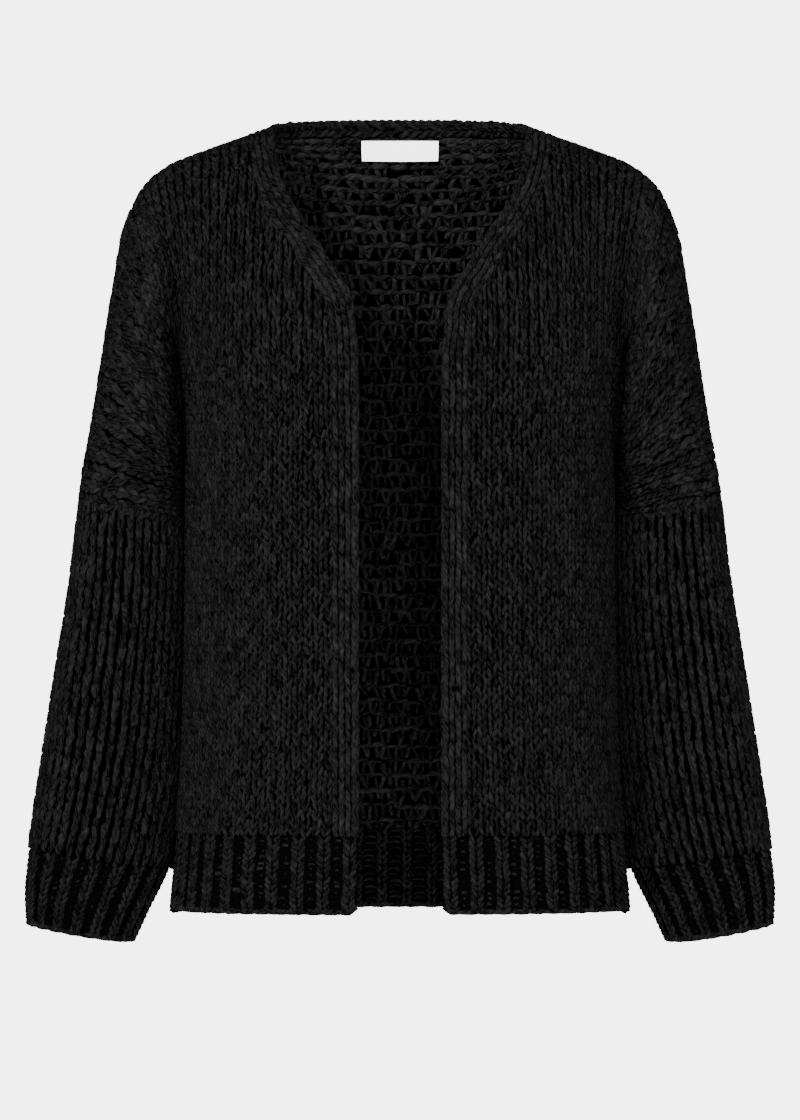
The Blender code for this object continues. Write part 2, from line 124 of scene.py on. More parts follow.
def through(knots, values, at):
    """A smooth curve through the values: cubic between knots, its slopes from the neighbours."""
    knots, values = np.asarray(knots, float), np.asarray(values, float)
    at = np.clip(at, knots[0], knots[-1])
    slopes = np.gradient(values, knots)
    i = np.clip(np.searchsorted(knots, at) - 1, 0, len(knots) - 2)
    width = knots[i + 1] - knots[i]
    a, b, c, d = hermite((at - knots[i]) / width)
    return a * values[i] + b * values[i + 1] + c * slopes[i] * width + d * slopes[i + 1] * width


def ease(t):
    t = np.clip(t, 0.0, 1.0)
    return t * t * (3 - 2 * t)


def mix(a, b, share):
    return a + (b - a) * share


def point(x, y, z):
    return np.stack(np.broadcast_arrays(x, y, z), axis=-1).astype(float)


def unit(vectors):
    return vectors / np.maximum(np.linalg.norm(vectors, axis=-1, keepdims=True), 1e-12)


def steps_along(line):
    """The distance run at each point of a line of places."""
    return np.concatenate([[0.0], np.cumsum(np.linalg.norm(np.diff(line, axis=0), axis=1))])


def solved(passed, low, high, steps=30):
    """Where passed(value) turns from false to true between low and high, for whole arrays."""
    low, high = np.array(low, float), np.array(high, float)
    for _ in range(steps):
        middle = (low + high) / 2
        past = passed(middle)
        low, high = np.where(past, low, middle), np.where(past, middle, high)
    return high


# %% [markdown]
# ## The arm
#
# Shoulder, upper arm, sleeve and cuff share one top line, and each place on it starts a wale, a
# column of knitting, that runs down to the inside of the arm. Under the armpit the arm is pressed
# against the body, and a soft maximum keeps the two just clear of each other.

# %% Arm
TOP_X = SHOULDER["x"] + ARM["outer_x"]
TOP_Z = SHOULDER["z"] + ARM["outer_z"]
TOP_AT = np.concatenate([[0.0], np.cumsum(np.hypot(np.diff(TOP_X), np.diff(TOP_Z)))])
ARM_AT = TOP_AT[len(SHOULDER["x"]) :]
ARMPIT_AT, SLEEVE_AT, CUFF_AT, END_AT = ARM_AT[[0, SLEEVE_STATION, CUFF_STATION, -1]]


def top_line(distance):
    return through(TOP_AT, TOP_X, distance), through(TOP_AT, TOP_Z, distance)


def body_value(name, z):
    return through(BODY["z"][::-1], BODY[name][::-1], z)


def body_side(y, z):
    """How far out the body reaches at a depth and height, or 0 in front of it and behind it."""
    depth = np.where(y < 0, body_value("front", z), body_value("back", z))
    deep = np.clip(np.abs(y) / depth, 0, 1)
    return body_value("half_width", z) * (1 - deep**RING_POWER) ** (1 / RING_POWER)


def arm(distance, turn, side):
    """A point of the arm.

    turn goes from 0 on the top line to 1 under the arm; side is -1 in front and 1 behind.
    """
    x, z = top_line(distance)
    inner_x, inner_z, middle, depth, tuck = (
        through(ARM_AT, ARM[name], distance)
        for name in ("inner_x", "inner_z", "middle_y", "half_depth", "tuck")
    )
    share = ease(turn)
    y = middle + side * 4 * turn * (1 - turn) * depth + np.maximum(tuck, 0) * share
    x, z = mix(x, inner_x, share), mix(z, inner_z, share)
    opening = np.clip((CHEST_Z - z) / ARM_CLEAR_FROM, 0, 1)
    nearest = body_side(y, z) + ARM_CLEAR * opening
    pressed = (x + nearest + np.hypot(x - nearest, PRESS_SOFTNESS * opening)) / 2
    return point(np.where(z > CHEST_Z, x, pressed), y, z)


print(f"From the neck: armpit {ARMPIT_AT:.3f}, sleeve {SLEEVE_AT:.3f}, cuff {CUFF_AT:.3f} m")

# %% [markdown]
# ## The body, the yoke and the neck band
#
# Below the chest the body is a run of level rings, fuller at the corners than an ellipse. Above it
# the yoke hangs from the shoulders: each wale leaves the top line forwards, or back over the nape,
# and arrives on the chest ring going straight down, or turns under the arm. The neck band stands on
# the back of the neck.


# %% Body
def ring(across, z, side):
    """A point of a level ring. across goes by length, from 0 in the middle to 1 at the side."""
    across, z = np.broadcast_arrays(across, z)
    names = "half_width", "front" if side < 0 else "back"
    width, depth = (body_value(name, z)[..., None] for name in names)
    sine, cosine = np.sin(RING_ANGLES), np.cos(RING_ANGLES)
    reach = ((sine / width) ** RING_POWER + (cosine / depth) ** RING_POWER) ** (-1 / RING_POWER)
    x, y = sine * reach, cosine * reach
    length = np.cumsum(np.hypot(np.diff(x, axis=-1), np.diff(y, axis=-1)), axis=-1)
    length = np.concatenate([np.zeros_like(length[..., :1]), length], axis=-1)
    at = (across * length[..., -1])[..., None]
    i = np.clip((length <= at).sum(axis=-1, keepdims=True) - 1, 0, len(RING_ANGLES) - 2)
    before, after = (np.take_along_axis(length, i + k, -1) for k in (0, 1))
    share = (at - before) / (after - before)
    x, y = (
        mix(np.take_along_axis(a, i, -1), np.take_along_axis(a, i + 1, -1), share)[..., 0]
        for a in (x, y)
    )
    return point(x, side * y, z)


def ring_length(side):
    return steps_along(ring(np.linspace(0, 1, 80), HEM_RIB_Z, side))[-1]


print(f"Half round at the hem: front {ring_length(-1):.3f}, back {ring_length(1):.3f} m")


# %% Neck band and yoke
def band(turn, up):
    """A point of the neck band. turn goes from 0 at the nape to 1 on the shoulder."""
    width, depth, z_back, z_end = (
        mix(BAND_LOW[name], BAND_TOP[name], up)
        for name in ("half_width", "depth", "z_back", "z_end")
    )
    angle = turn * np.pi / 2
    z = mix(z_end, z_back, np.abs(np.cos(angle)) ** BAND_CREST)
    return point(width * np.sin(angle), depth * np.cos(angle), z)


def top_share(x):
    """The share of the panel's width whose wale starts at x on the shoulder."""
    at = solved(lambda distance: top_line(distance)[0] > x, 0.0, ARMPIT_AT)
    return mix(NECK_SHARE, 1.0, at / ARMPIT_AT)


NECK_SHARES = {-1: top_share(BAND_TOP["half_width"]), 1: top_share(BAND_LOW["half_width"])}


def shoulder_wale(across, down, side):
    """A point of the yoke. across goes from 0 in the middle to 1 at the armpit."""
    across, down = np.broadcast_arrays(across, down)
    neck = NECK_SHARES[side]
    round_arm = 4 * ARM["half_depth"][0]
    x, z = top_line(np.clip((across - NECK_SHARE) / (1 - NECK_SHARE), 0, 1) * ARMPIT_AT)
    start = point(x, 0.0, z)
    reach = mix(NECK_REACH, round_arm, ease((across - neck) / (1 - neck)))
    leave = point(0.0, side * reach, 0.0)
    inside = (across < neck)[..., None]
    turn = np.clip(across / neck, 0, 1)
    if side < 0:
        start = np.where(inside, point(SHOULDER["x"][0] * turn, 0.0, SHOULDER["z"][0]), start)
    else:
        start = np.where(inside, band(turn, 0.0), start)
        nape = np.cos(turn * np.pi / 2)[..., None]
        leave = np.where(inside, mix(leave, np.array(NAPE_TANGENT), nape), leave)
    end = ring(across, CHEST_Z, side)
    turned = ease((across - ARM_TURN) / (1 - ARM_TURN))[..., None]
    straight_down = np.array((0.0, 0.0, -CHEST_REACH))
    arrive = mix(straight_down, np.array((0.0, -side * round_arm, 0.0)), turned)
    a, b, c, d = (weight[..., None] for weight in hermite(down))
    return a * start + b * end + c * leave + d * arrive


# %% [markdown]
# ## Cloth as columns and rows
#
# Knitting counts in stitches, so each piece gets a map from columns and rows to space. `Cloth`
# samples the outer face of a piece on a lattice of half stitches, and answers where a place in
# columns and rows lies, and how far under the face. The numbers of stitches come from the photo.

# %% Cloth
COLUMNS = 30  # of a half panel
YOKE_ROWS = 32
BODY_ROWS = 58
PANEL_ROWS = YOKE_ROWS + BODY_ROWS
LATTICE = 0.5


class Cloth:
    """The outer face of a piece of cloth, looked up by column and row of knitting."""

    def __init__(self, surface, columns, rows, outward, mirror=1, lattice=(LATTICE, LATTICE)):
        self.first = np.array([columns[0], rows[0]], float)
        counts = [
            max(2, int(np.ceil((high - low) / step)) + 1)
            for (low, high), step in zip((columns, rows), lattice)
        ]
        self.step = np.array(
            [(high - low) / (n - 1) for (low, high), n in zip((columns, rows), counts)]
        )
        self.size = columns[1], rows[1]
        across, down = (
            np.linspace(low, high, n) for (low, high), n in zip((columns, rows), counts)
        )
        self.points = surface(across[:, None], down[None, :])
        along = np.gradient(self.points, axis=0), np.gradient(self.points, axis=1)
        normals = unit(np.cross(*along)) * outward
        self.normals = normals * (mirror, 1, 1)
        self.points = self.points * (mirror, 1, 1)

    def look(self, grid, column, row):
        at = [(a - first) / step for a, first, step in zip((column, row), self.first, self.step)]
        i, j = (np.clip(np.floor(a).astype(int), 0, n - 2) for a, n in zip(at, grid.shape))
        s, t = (at[0] - i)[..., None], (at[1] - j)[..., None]
        above = mix(grid[i, j], grid[i + 1, j], s)
        below = mix(grid[i, j + 1], grid[i + 1, j + 1], s)
        return mix(above, below, t)

    def at(self, column, row, depth=0.0):
        column, row, depth = np.broadcast_arrays(column, row, depth)
        normals = unit(self.look(self.normals, column, row))
        return self.look(self.points, column, row) - normals * depth[..., None], normals


# %% Panels
def panel_place(share, row, side):
    """A place of a panel: its yoke for the first rows, and then its body."""
    share, row = np.broadcast_arrays(share, row)
    yoke = shoulder_wale(share, np.clip(row / YOKE_ROWS, 0, 1), side)
    z = mix(CHEST_Z, HEM_RIB_Z, np.clip((row - YOKE_ROWS) / BODY_ROWS, 0, 1))
    return np.where((row < YOKE_ROWS)[..., None], yoke, ring(share, z, side))


def panel_cloth(side, mirror):
    def place(column, row):
        return panel_place(column / COLUMNS, row, side)

    return Cloth(place, (0, COLUMNS), (0, PANEL_ROWS), side, mirror)


# %% [markdown]
# ## The upper arm
#
# The shoulder is dropped: the panels run out over the upper arm to a seam above the elbow. There
# the wales fan out from the armpit, so one lattice would shear the stitches. Each wale gets a narrow
# cloth of its own, square to its run, and where the fan is wide, shorter wales lie between the
# others, as a knitter adds stitches.

# %% Upper arm
ARM_COLUMNS = 18  # of the backing there
ARM_GAUGE = 0.0106, 0.0092  # width and height of a stitch there
EVEN_TURN = 0.45  # how far down the wales are evenly spaced
WIDE_WALE = 0.0150  # past which there is room for a shorter one
FIRST_ROW, LAST_CLEARANCE = 0.5, 0.2


def arm_cloth(side, mirror):
    def place(column, row):
        distance = mix(ARMPIT_AT, SLEEVE_AT, column / ARM_COLUMNS)
        return arm(distance, row / YOKE_ROWS, side)

    return Cloth(place, (0, ARM_COLUMNS), (0, YOKE_ROWS), side, mirror)


def way_to_next(distance, turn, side, step=0.001):
    """The way from a wale to the next one, square to it, for one metre of distance."""
    distance = np.clip(distance, ARMPIT_AT + step, SLEEVE_AT - step)
    along = unit(arm(distance, turn + step, side) - arm(distance, turn - step, side))
    across = (arm(distance + step, turn, side) - arm(distance - step, turn, side)) / (2 * step)
    return across - along * (across * along).sum(axis=-1, keepdims=True)


def arm_wales(side, mirror):
    """A narrow cloth for each wale of the upper arm, and the rows of its stitches."""
    distances = np.linspace(ARMPIT_AT, SLEEVE_AT, 61)
    width = np.linalg.norm(way_to_next(distances, EVEN_TURN, side), axis=-1)
    run = np.cumsum((width[1:] + width[:-1]) / 2 * np.diff(distances))
    at = np.concatenate([[0.0], run])
    count = round(at[-1] / ARM_GAUGE[0])
    turns = np.linspace(0, 1, 49)
    for wale in np.arange(0, count, 0.5):
        distance = np.interp(wale / count * at[-1], at, distances)
        line = arm(distance, turns, side)
        rows = steps_along(line) / ARM_GAUGE[1]
        across = way_to_next(distance, turns, side) * at[-1] / count
        across = across / np.interp(distance, distances, width)
        wide = np.linalg.norm(across, axis=-1) > WIDE_WALE
        across = across * np.where(wide, 0.5, 1.0)[:, None]

        def place(column, row):
            start, way = (
                np.stack([np.interp(row, rows, values[:, i]) for i in range(3)], axis=-1)
                for values in (line, across)
            )
            return start + column[..., None] * way

        row = np.arange(FIRST_ROW, rows[-1] - LAST_CLEARANCE)
        if wale % 1:
            row = row[np.interp(row, rows, wide) > 0.5]
        yield Cloth(place, (-0.5, 0.5), (0, rows[-1]), side, mirror), row


# %% [markdown]
# ## Sleeves as tubes
#
# A sleeve goes all the way round the arm. `even_around` shares the way round out by length, so that
# the columns of a tube all have one width.


# %% Tubes
def tube_place(distance, around):
    """A place of the sleeve. around goes from 0 on top, down the front and up the back, to 1."""
    distance, around = np.broadcast_arrays(distance, around)
    turn = 2 * (around % 1.0)
    return np.where((turn < 1)[..., None], arm(distance, turn, -1), arm(distance, 2 - turn, 1))


def even_around(distance, around):
    """Turns a share of the way round into tube_place's, so that columns have one width."""
    steps = np.linspace(0, 1, 121)
    length = steps_along(tube_place(distance, steps))
    return np.interp(around % 1.0, length / length[-1], steps) + np.floor(around)


def tube_cloth(start, end, columns, rows, mirror):
    def place(column, row):
        distance = mix(start, end, row / rows)
        around = [even_around(mix(start, end, r / rows), column[:, 0] / columns) for r in row[0]]
        return tube_place(distance, np.stack(around, axis=1))

    return Cloth(place, (0, columns), (0, rows), 1, mirror)


# %% [markdown]
# ## The front edge
#
# The panel's edge is the V neck and the straight front. Two fine columns of knitting run beside it
# all the way, so the edge gets a cloth of its own. The panel's stitches stay clear of it.

# %% Front edge
EDGE_COLUMNS = 2
EDGE_WIDTH = 0.0205
EDGE_STITCH = 0.0072
edge_rows = np.linspace(0, PANEL_ROWS, 2 * PANEL_ROWS + 1)


def past_edge(share):
    place = panel_place(share, edge_rows, -1)
    return place[:, 0] > through(EDGE["z"], EDGE["x"], place[:, 2])


edge_shares = solved(past_edge, np.zeros(len(edge_rows)), np.ones(len(edge_rows)))
edge_shares[0] = NECK_SHARES[-1]
edge_line = panel_place(edge_shares, edge_rows, -1)


def edge_reach(places):
    """How far places of the front panel lie from its edge."""
    gaps = np.linalg.norm(places[..., None, :] - edge_line, axis=-1)
    return gaps.min(axis=-1)


inward = np.linspace(0, 0.25, 26)
spread = edge_reach(panel_place(edge_shares[:, None] + inward, edge_rows[:, None], -1))
edge_shares_in = edge_shares + np.array(
    [np.interp(EDGE_WIDTH, np.maximum.accumulate(row), inward) for row in spread]
)
edge_length = steps_along(edge_line)
EDGE_STITCHES = round(edge_length[-1] / EDGE_STITCH)


def edge_place(column, stitch):
    row = np.interp(stitch / EDGE_STITCHES * edge_length[-1], edge_length, edge_rows)
    first = np.interp(row, edge_rows, edge_shares)
    last = np.interp(row, edge_rows, edge_shares_in)
    return panel_place(mix(first, last, column / EDGE_COLUMNS), row, -1)


def edge_cloth(mirror):
    return Cloth(edge_place, (0, EDGE_COLUMNS), (0, EDGE_STITCHES), -1, mirror)


print(f"Front edge: {edge_length[-1]:.3f} m, {EDGE_STITCHES} stitches")

# %% [markdown]
# ## Yarn
#
# A stitch is one loop of yarn. Its legs stand on the outside of the cloth as a V, and the bars
# between them lie on the inside. No operator knits, and a curve object for each of some forty
# thousand strands would be slow. So a `Strand` gives the course of the yarn within its stitch, and
# one function draws it for all the stitches of a piece at once. Hands and wool are uneven, and each
# strand leans, stretches and swells a little by chance.

# %% Strands
BACKING_DEPTH, BACKING = 0.0038, 0.0016
STITCH_WIDTH = 0.0087  # for which the strands' radii are given


class Strand:
    """A course of yarn: across in columns, down in rows, and depth and radius in metres."""

    def __init__(self, across, down, depth, radius):
        self.across, self.down, self.depth, self.radius = np.broadcast_arrays(
            *(np.asarray(values, float) for values in (across, down, depth, radius))
        )


def leg(spread, reach, depth, dive, radius, waist=0.32, squeeze=1.0):
    """Half of a V: it comes out from under the stitch below, leans outwards and dives again."""
    t = np.array([0.18, 0.40, 0.60, 0.82]) * np.pi
    return Strand(
        squeeze * (t / (2 * np.pi) + spread * np.sin(2 * t)),
        -reach * np.cos(t),
        mix(depth, dive, (1 + np.cos(2 * t)) / 2),
        radius * (1 - waist * np.cos(t) ** 2),
    )


def bar(half_width, arch, depth, dive, radius, taper=0.3):
    """A short level piece of yarn, which shows where the loops pass from column to column."""
    at = np.array([-1.0, -0.5, 0.0, 0.5, 1.0])
    thick = radius * (1 - taper * at**4)
    return Strand(half_width * at, arch * at**2, mix(depth, dive, at**2), thick)


def pair(strand):
    """The two legs of a V, mirror images of each other."""
    across, down, depth, radius = (
        values[::-1] for values in (strand.across, strand.down, strand.depth, strand.radius)
    )
    return [strand, Strand(-across, down, depth, radius)]


# %% Draw
ROOM_LIMITS = 0.6, 1.35  # how much thinner or thicker yarn may be where stitches are narrow or wide
HEM_CLEARANCE = 0.12  # rows that the legs stay short of a piece's lower end
SWAY, LEAN, STRETCH, SWELL = 0.5, 0.8, 1.5, 1.4  # as shares of a strand's unevenness


class Wander:
    """A smooth random drift over columns and rows, the same for neighbours that meet."""

    def __init__(self, cloth, spread):
        self.first = cloth.first.astype(int) - 3
        count = [int(size) + 8 - first for size, first in zip(cloth.size, self.first)]
        self.grid = random.normal(0, spread, (*count, 2))

    def at(self, column, row):
        at = np.stack(np.broadcast_arrays(column, row), -1) - self.first
        i = np.clip(np.floor(at).astype(int), 0, np.array(self.grid.shape[:2]) - 2)
        s, t = np.moveaxis(np.clip(at - i, 0, 1), -1, 0)[..., None]
        i, j = i[..., 0], i[..., 1]
        g = self.grid
        drift = mix(mix(g[i, j], g[i + 1, j], s), mix(g[i, j + 1], g[i + 1, j + 1], s), t)
        return column + drift[..., 0], row + drift[..., 1]


def draw(
    cloth, column, row, strands, lift=0.0, wander=0.05, uneven=0.05, inside=False,
    width=STITCH_WIDTH,
):
    """The strands of many stitches, each a little different: paths, outward directions, radii."""
    parts = []
    drift = Wander(cloth, wander)
    left, right = (cloth.at(column + step, row)[0] for step in (-0.5, 0.5))
    room = np.clip(np.linalg.norm(right - left, axis=1) / width, *ROOM_LIMITS)[:, None]
    lowest = cloth.size[1] - HEM_CLEARANCE
    for strand in strands:
        aside, along, lean, stretch = random.normal(0, uneven, (4, len(column), 1))
        across = column[:, None] + strand.across + aside * SWAY + lean * LEAN * strand.down
        down = np.minimum(row[:, None] + strand.down * (1 + stretch * STRETCH) + along, lowest)
        path, out = cloth.at(*drift.at(across, down), strand.depth - lift)
        thick = random.normal(1, uneven * SWELL, (len(column), 1))
        parts.append((path, -out if inside else out, strand.radius * room * thick))
    return [np.concatenate(values) for values in zip(*parts)]


# %% [markdown]
# ## Tubes and ropes
#
# Each course becomes a tube of quads. Yarn that lies on cloth shows only its upper side, so its
# tube is an open arch with three sides, which keeps forty thousand strands light. A rope is closed
# and goes on for a whole edge: twisted strands that round a cut edge off, or one cord that fills a
# seam. The texture coordinates run along the yarn in metres, from a whole number that sets the
# strand's tone.

# %% Tubes and ropes
ARCH = np.radians(-22), np.radians(202)
FLATNESS = 0.86
# Each strand's tone is random, and its lighter ones are partly painted sheen.
TONES = 64
RUN_START = 0.1


def tubes(path, out, radius, sides=3, closed=False, flat=FLATNESS):
    """Yarn on many paths: vertices, quads and texture coordinates."""
    along = unit(np.gradient(path, axis=1))
    aside = unit(np.cross(along, out))
    up = np.cross(aside, along)
    if closed:
        angles = (np.arange(sides) + 0.5) / sides * 2 * np.pi
    else:
        angles = np.linspace(*ARCH, sides + 1)
    count, length = path.shape[:2]
    around = len(angles)
    sideways = np.cos(angles)[:, None] * aside[:, :, None]
    upwards = flat * np.sin(angles)[:, None] * up[:, :, None]
    vertices = path[:, :, None] + radius[..., None, None] * (sideways + upwards)
    first = np.arange(count)[:, None, None] * length * around
    i = first + np.arange(length - 1)[None, :, None] * around
    j = np.arange(sides)[None, None, :]
    k = (j + 1) % around
    quads = np.stack([i + j, i + around + j, i + around + k, i + k], -1).reshape(-1, 4)
    run = np.cumsum(np.linalg.norm(np.diff(path, axis=1), axis=2), axis=1)
    run = np.concatenate([np.zeros((count, 1)), run], axis=1)
    run = run + random.integers(0, TONES, (count, 1)) + RUN_START
    near, far = run[:, :-1, None] + 0 * j, run[:, 1:, None] + 0 * j
    low, high = (j + 0 * near) / sides, (j + 1 + 0 * near) / sides
    uvs = np.stack([near, low, far, low, far, high, near, high], -1).reshape(-1, 4, 2)
    return vertices.reshape(-1, 3), quads, uvs


def rope(cloth, column, row, depth, radius, swing=0.0, strands=1, pitch=1.0):
    """A cord of twisted strands along a line of the cloth."""
    centre, out = cloth.at(column, row, depth)
    along = unit(np.gradient(centre, axis=0))
    aside = unit(np.cross(along, out))
    run = steps_along(centre)
    turn = 2 * np.pi * (run / pitch + np.arange(strands)[:, None] / strands)[..., None]
    path = centre + swing * (np.cos(turn) * out + np.sin(turn) * aside)
    thick = radius * random.normal(1, 0.05, path.shape[:2])
    out = np.broadcast_to(out, path.shape)
    return tubes(path, out, thick, sides=5, closed=True, flat=1.0)


def joined(parts):
    """Several sets of vertices, quads and texture coordinates as one."""
    vertices, quads, uvs, count = [], [], [], 0
    for v, q, t in parts:
        vertices.append(v)
        quads.append(q + count)
        uvs.append(t)
        count += len(v)
    return np.concatenate(vertices), np.concatenate(quads), np.concatenate(uvs)


# %% [markdown]
# ## Meshes
#
# `piece` makes one object of all the yarn of a piece. `backing` makes the thin cloth under it: the
# patches are welded in edit mode where they meet, and Solidify gives them a thickness. That cloth
# takes the place of the CAD node.


# %% Meshes
def deselect_all():
    for other in bpy.context.selected_objects:
        other.select_set(False)


def weld(made, distance, recalculate):
    """Merges an object's doubles in edit mode, and makes its normals agree if asked to."""
    deselect_all()
    bpy.context.view_layer.objects.active = made
    made.select_set(True)
    bpy.ops.object.mode_set(mode="EDIT")
    bpy.ops.mesh.select_all(action="SELECT")
    bpy.ops.mesh.remove_doubles(threshold=distance)
    if recalculate:
        bpy.ops.mesh.normals_make_consistent(inside=False)
    bpy.ops.object.mode_set(mode="OBJECT")


def piece(name, parts, finish):
    """One object from sets of vertices, quads and texture coordinates."""
    vertices, quads, uvs = joined(parts)
    mesh = bpy.data.meshes.new(name)
    mesh.vertices.add(len(vertices))
    mesh.vertices.foreach_set("co", vertices.ravel())
    mesh.loops.add(quads.size)
    mesh.loops.foreach_set("vertex_index", quads.ravel())
    mesh.polygons.add(len(quads))
    mesh.polygons.foreach_set("loop_start", np.arange(0, quads.size, 4))
    mesh.update(calc_edges=True)
    mesh.shade_smooth()
    mesh.uv_layers.new(name="yarn").uv.foreach_set("vector", uvs.ravel())
    mesh.materials.append(finish)
    made = bpy.data.objects.new(name, mesh)
    bpy.context.scene.collection.objects.link(made)
    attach(made, "root")
    print(f"{name}: {len(quads)} quads")
    return made


def backing(name, patches, finish, node, thickness=BACKING):
    """The thin cloth under a piece's yarn, which replaces the CAD node."""
    made = piece(name, patches, finish)
    weld(made, 0.0012, recalculate=True)
    area = sum(polygon.area for polygon in made.data.polygons)
    solidify = made.modifiers.new("thickness", "SOLIDIFY")
    solidify.thickness = thickness
    solidify.offset = 0.0
    bpy.ops.object.modifier_apply(modifier="thickness")
    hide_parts(node)
    print(f"{name}: {area:.4f} square metres")
    return made


def patch(cloth, columns, rows, depth=BACKING_DEPTH, step=1.0, start=None):
    """Quads of a cloth's face. start gives each row's first column, where its edge slants."""
    (left, right), (top, bottom) = columns, rows
    across = np.linspace(left, right, int(np.ceil((right - left) / step)) + 1)
    down = np.linspace(top, bottom, int(np.ceil((bottom - top) / step)) + 1)
    share = (across - left) / (right - left)
    first = np.full(len(down), float(left)) if start is None else start(down)
    columns_at = mix(first[None, :], right, share[:, None])
    vertices, _ = cloth.at(columns_at, down[None, :], depth)
    count = len(down)
    i = np.arange(len(across) - 1)[:, None] * count + np.arange(count - 1)[None, :]
    i = i.reshape(-1)
    quads = np.stack([i, i + 1, i + count + 1, i + count], -1)
    uvs = np.stack(np.broadcast_arrays(columns_at, down[None, :]), -1).reshape(-1, 2)[quads]
    return vertices.reshape(-1, 3), quads, uvs


# %% [markdown]
# ## Materials
#
# The yarn is near-black, matt and soft: plies wind round it and fine fibres lie along them, both as
# bump and as tone, and each strand is a little lighter or darker than the next. That tone is random
# in part and painted sheen in part: light fibres and strands stand in for the yarn's highlights.
# A plain dark colour would look like rubber. The cloth under the yarn is painted shade: its colour
# is far darker than the yarn's, for the shadow in the gaps. That of the ribs is painted shade too,
# less dark, and shows as the dim bars of the purl columns. The yarn inside the back is painted
# light: it is lighter than the outer yarn, for the little light inside. `Nodes` wraps a socket, so
# that a material reads as arithmetic.


# %% Node sockets
class Nodes:
    """Node sockets as Python values, so that a material reads as arithmetic."""

    def __init__(self, tree, socket=None):
        self.tree, self.socket = tree, socket

    def put(self, kind, output=0, settings=(), **inputs):
        node = self.tree.nodes.new(kind)
        for name, value in dict(settings).items():
            setattr(node, name, value)
        for name, value in inputs.items():
            key = int(name[1:]) if name[0] == "i" and name[1:].isdigit() else name
            if isinstance(value, Nodes):
                self.tree.links.new(value.socket, node.inputs[key])
            else:
                node.inputs[key].default_value = value
        return Nodes(self.tree, node.outputs[output])

    def math(self, operation, other=0.0):
        return self.put(
            "ShaderNodeMath", settings={"operation": operation}, i0=self, i1=other
        )

    def __add__(self, other):
        return self.math("ADD", other)

    def __sub__(self, other):
        return self.math("SUBTRACT", other)

    def __mul__(self, other):
        return self.math("MULTIPLY", other)

    def __rsub__(self, other):
        return self.put("ShaderNodeMath", settings={"operation": "SUBTRACT"}, i0=other, i1=self)

    __radd__ = __add__
    __rmul__ = __mul__

    def wave(self):
        """A sine of which this value counts the turns."""
        return (self * (2 * np.pi)).math("SINE")


def material(name, colour, roughness, gloss=0.0):
    made = bpy.data.materials.new(name)
    made.use_nodes = True
    shader = made.node_tree.nodes["Principled BSDF"]
    shader.inputs["Base Color"].default_value = (*colour, 1.0)
    shader.inputs["Roughness"].default_value = roughness
    shader.inputs["Specular IOR Level"].default_value = gloss
    return made, Nodes(made.node_tree), shader


def split(nodes, vector, *axes):
    """Some of a vector's three values."""
    return [nodes.put("ShaderNodeSeparateXYZ", output=axis, i0=vector) for axis in axes]


def raise_surface(nodes, shader, height, distance):
    bump = nodes.put("ShaderNodeBump", Height=height, Distance=distance, Strength=1.0)
    nodes.tree.links.new(bump.socket, shader.inputs["Normal"])


# %% Yarn and cloth
PLIES = 110.0  # a metre
FIBRES, FIBRE_TURN = 170.0, 300.0  # a metre, along the yarn and round it
YARN_BUMP = 0.0012
# The lightest tone is painted sheen: bright fibres and strands in place of highlights.
DARKEST, LIGHTEST_WITH_PAINTED_SHEEN = 0.08, 3.4  # times the yarn's colour


def yarn_material(name, colour):
    """Matt yarn: plies that wind round it, and fine fibres along them, whose lighter tones are
    painted sheen.
    """
    made, nodes, shader = material(name, colour, 0.7)
    uv = nodes.put("ShaderNodeUVMap", settings={"uv_map": "yarn"})
    run, around = split(nodes, uv, 0, 1)
    plies = (run * PLIES + around * 1.5).wave()
    place = nodes.put("ShaderNodeCombineXYZ", i0=run * FIBRES, i1=around * 5.0 - run * FIBRE_TURN)
    fibres = nodes.put("ShaderNodeTexNoise", Vector=place, Scale=1.0, Detail=3.0)
    raise_surface(nodes, shader, plies * 0.25 + fibres, YARN_BUMP)
    strand = nodes.put(
        "ShaderNodeTexWhiteNoise", settings={"noise_dimensions": "1D"}, W=run.math("FLOOR")
    )
    # The tone is random in part and painted sheen in part: fibres and strands lighter by up to 3.4
    # times stand in for highlights.
    tone = nodes.put(
        "ShaderNodeMix", output=2, settings={"data_type": "RGBA"},
        Factor=fibres * 2.5 + strand * 0.45 - 1.02,
        i6=(*(c * DARKEST for c in colour), 1.0), i7=(*(c * LIGHTEST_WITH_PAINTED_SHEEN for c in colour), 1.0),
    )
    nodes.tree.links.new(tone.socket, shader.inputs["Base Color"])
    return made


def backing_material(name, colour):
    """The cloth under the yarn, in a colour of painted shade. It shows the level bars of the loops.
    """
    made, nodes, shader = material(name, colour, 0.9)
    uv = nodes.put("ShaderNodeUVMap", settings={"uv_map": "yarn"})
    column, row = split(nodes, uv, 0, 1)
    turn = column * (2 * np.pi)
    bars = (row * (2 * np.pi) + turn.math("SINE") * 1.1).math("SINE")
    raise_surface(nodes, shader, bars + turn.math("COSINE") * 0.4, YARN_BUMP)
    return made


def satin_material(name, colour):
    """Woven satin: fine threads that run along the label and across it."""
    made, nodes, shader = material(name, colour, 0.45, 0.3)
    place = nodes.put("ShaderNodeTexCoord", output=3)
    x, z = split(nodes, place, 0, 2)
    threads = (x * (1 / 0.0005)).wave() * 0.4 + (z * (1 / 0.0003)).wave()
    raise_surface(nodes, shader, threads, 0.00002)
    return made


knit = yarn_material("knit_yarn", (0.0014, 0.0014, 0.00145))
# The yarn inside the back is painted light: coloured lighter than the knit yarn, to make up for the
# little light that reaches the inside.
purl = yarn_material("purl_yarn_painted_light", (0.0019, 0.0019, 0.00195))
rib = yarn_material("rib_yarn", (0.0014, 0.0014, 0.00145))
